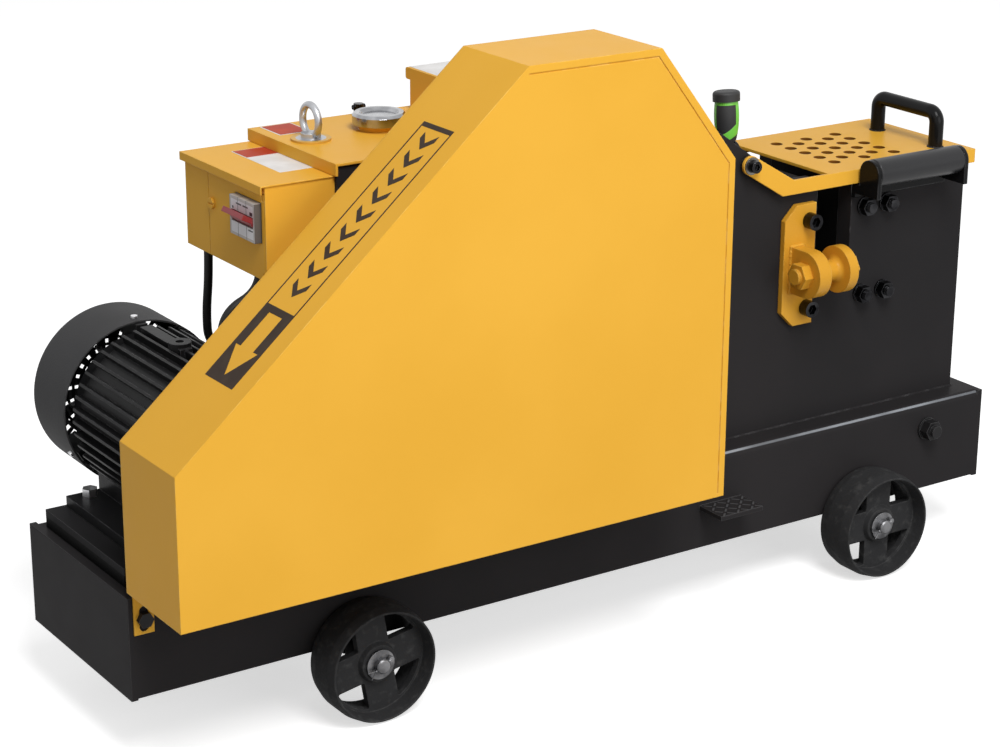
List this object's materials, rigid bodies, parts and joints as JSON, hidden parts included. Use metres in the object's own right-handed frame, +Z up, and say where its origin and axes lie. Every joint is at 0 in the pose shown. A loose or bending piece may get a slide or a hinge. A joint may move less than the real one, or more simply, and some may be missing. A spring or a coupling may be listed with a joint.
{
  "type": "rebar cutting machine",
  "caption": "Wheeled electric machine that shears reinforcing bar: belt guard and motor at one end, gear case in the middle, slotted cutting head under a hinged lid at the other.",
  "frame": {"origin": "on the floor under the wheels, at the middle of the overall length and width", "axes": "+X from the motor end to the cutting head, +Y from the belt guard's side to the fan cowl's side, +Z up"},
  "size_m": [1.26, 0.473, 0.759],
  "materials": {
    "yellow_paint": "semi-gloss yellow enamel",
    "black_paint": "satin black enamel",
    "wheel_iron": "black painted casting",
    "motor_iron": "black painted casting",
    "cast_iron": "machined grey iron",
    "steel": "turned steel",
    "tool_steel": "ground tool steel",
    "zinc": "zinc plate",
    "black_oxide": "black oxide",
    "chrome": "polished",
    "bronze": "bearing bronze",
    "rubber": "matt",
    "black_plastic": "matt",
    "grey_plastic": "moulded",
    "red_plastic": "moulded",
    "green_plastic": "soft grip with black cap"
  },
  "bodies": {
    "base": {"base_frame": "black_paint", "axles": "steel", "axle_washers": "steel", "split_pins": "steel", "belt_guard": "yellow_paint", "guard_back": "yellow_paint", "motor_slide": "black_paint", "motor_frame": "motor_iron", "drive_end_shield": "motor_iron", "fan_cowl": "black_paint", "terminal_box": "motor_iron", "v_belts": "rubber", "crankshaft": "steel", "connecting_rod": "cast_iron", "bearings": "bronze", "bearing_caps": "black_paint", "fixed_blade": "tool_steel", "front_side_plate": "black_paint", "back_side_plate": "black_paint", "case_end_wall": "black_paint", "ram_guide": "black_paint", "head_block": "black_paint", "gear_cover": "yellow_paint", "gear_hood": "yellow_paint", "eye_bolt": "zinc", "oil_plug": "black_plastic", "electric_box": "yellow_paint", "breaker": "grey_plastic", "motor_cables": "rubber", "lid_pivots": "zinc", "roller_bracket": "black_paint", "spool_bracket": "yellow_paint", "spool_bolt": "yellow_paint", "socket_screws": "black_oxide", "tie_bolts": "black_oxide", "hex_bolts": "black_oxide"},
    "flywheel": {"flywheel": "cast_iron", "pinion_shaft": "steel"},
    "motor_spindle": {"motor_rotor": "steel", "motor_fan": "black_plastic", "motor_pulley": "cast_iron"},
    "intermediate": {"intermediate_shaft": "steel", "reduction_gear": "steel"},
    "crank_gear": {"crank_gear": "cast_iron"},
    "ram": {"ram": "steel", "moving_blade": "tool_steel"},
    "lever": {"clutch_lever": "black_paint", "lever_grip": "green_plastic"},
    "lid": {"lid": "yellow_paint", "lid_handle": "black_paint"},
    "roller": {"roller": "black_paint"},
    "spool": {"spool": "yellow_paint"},
    "box_door": {"box_door": "yellow_paint"},
    "door_lock": {"door_lock": "zinc"},
    "breaker_toggle": {"breaker_toggle": "red_plastic"},
    "filler_cap": {"filler_cap": "chrome"},
    "wheel_front_left": {"wheel_front_left": "wheel_iron"},
    "wheel_front_right": {"wheel_front_right": "wheel_iron"},
    "wheel_back_left": {"wheel_back_left": "wheel_iron"},
    "wheel_back_right": {"wheel_back_right": "wheel_iron"}
  },
  "joints": [
    {"name": "wheel_front_left_spin", "type": "hinge", "parent": "base", "child": "wheel_front_left", "pos_m": [-0.342, -0.1395, 0.07], "axis": [0, 1, 0], "continuous": true},
    {"name": "wheel_back_left_spin", "type": "hinge", "parent": "base", "child": "wheel_back_left", "pos_m": [-0.342, 0.1805, 0.07], "axis": [0, 1, 0], "continuous": true},
    {"name": "wheel_front_right_spin", "type": "hinge", "parent": "base", "child": "wheel_front_right", "pos_m": [0.418, -0.1395, 0.07], "axis": [0, 1, 0], "continuous": true},
    {"name": "wheel_back_right_spin", "type": "hinge", "parent": "base", "child": "wheel_back_right", "pos_m": [0.418, 0.1805, 0.07], "axis": [0, 1, 0], "continuous": true},
    {"name": "flywheel_spin", "type": "hinge", "parent": "base", "child": "flywheel", "pos_m": [-0.122, -0.1535, 0.555], "axis": [0, 1, 0], "continuous": true},
    {"name": "motor_spin", "type": "hinge", "parent": "base", "child": "motor_spindle", "pos_m": [-0.483, -0.1535, 0.325], "axis": [0, 1, 0], "continuous": true},
    {"name": "intermediate_spin", "type": "hinge", "parent": "base", "child": "intermediate", "pos_m": [-0.15763, 0.0205, 0.41548], "axis": [0, 1, 0], "continuous": true},
    {"name": "crank_gear_spin", "type": "hinge", "parent": "base", "child": "crank_gear", "pos_m": [0.02855, 0.0205, 0.448], "axis": [0, 1, 0], "continuous": true},
    {"name": "ram_slide", "type": "slide", "parent": "base", "child": "ram", "axis": [1, 0, 0], "range_m": [0, 0.034]},
    {"name": "lever_swing", "type": "hinge", "parent": "base", "child": "lever", "pos_m": [0.30514, 0.05, 0.539], "axis": [1, 0, 0], "range_deg": [0, 35]},
    {"name": "lid_hinge", "type": "hinge", "parent": "base", "child": "lid", "pos_m": [0.237, 0.0205, 0.559], "axis": [0, -1, 0], "range_deg": [0, 100]},
    {"name": "roller_spin", "type": "hinge", "parent": "base", "child": "roller", "pos_m": [0.4875, -0.1035, 0.529], "axis": [1, 0, 0], "continuous": true},
    {"name": "spool_spin", "type": "hinge", "parent": "base", "child": "spool", "pos_m": [0.3423, -0.1075, 0.4145], "axis": [1, 0, 0], "continuous": true},
    {"name": "door_hinge", "type": "hinge", "parent": "base", "child": "box_door", "pos_m": [-0.424, -0.0617, 0.515], "axis": [0, 0, 1], "range_deg": [0, 90]},
    {"name": "lock_turn", "type": "hinge", "parent": "box_door", "child": "door_lock", "pos_m": [-0.427, 0.0575, 0.577], "axis": [1, 0, 0], "range_deg": [0, 90]},
    {"name": "toggle_throw", "type": "hinge", "parent": "base", "child": "breaker_toggle", "pos_m": [-0.431, -0.028, 0.5795], "axis": [0, -1, 0], "range_deg": [0, 56]},
    {"name": "cap_turn", "type": "hinge", "parent": "base", "child": "filler_cap", "pos_m": [-0.215, 0.0455, 0.638], "axis": [0, 0, 1], "range_deg": [0, 90]}
  ],
  "couplings": [
    {"joint": "motor_spin", "follows": "flywheel_spin", "ratio": 3.2456},
    {"joint": "intermediate_spin", "follows": "flywheel_spin", "ratio": -0.28571},
    {"joint": "crank_gear_spin", "follows": "flywheel_spin", "ratio": 0.074286}
  ]
}
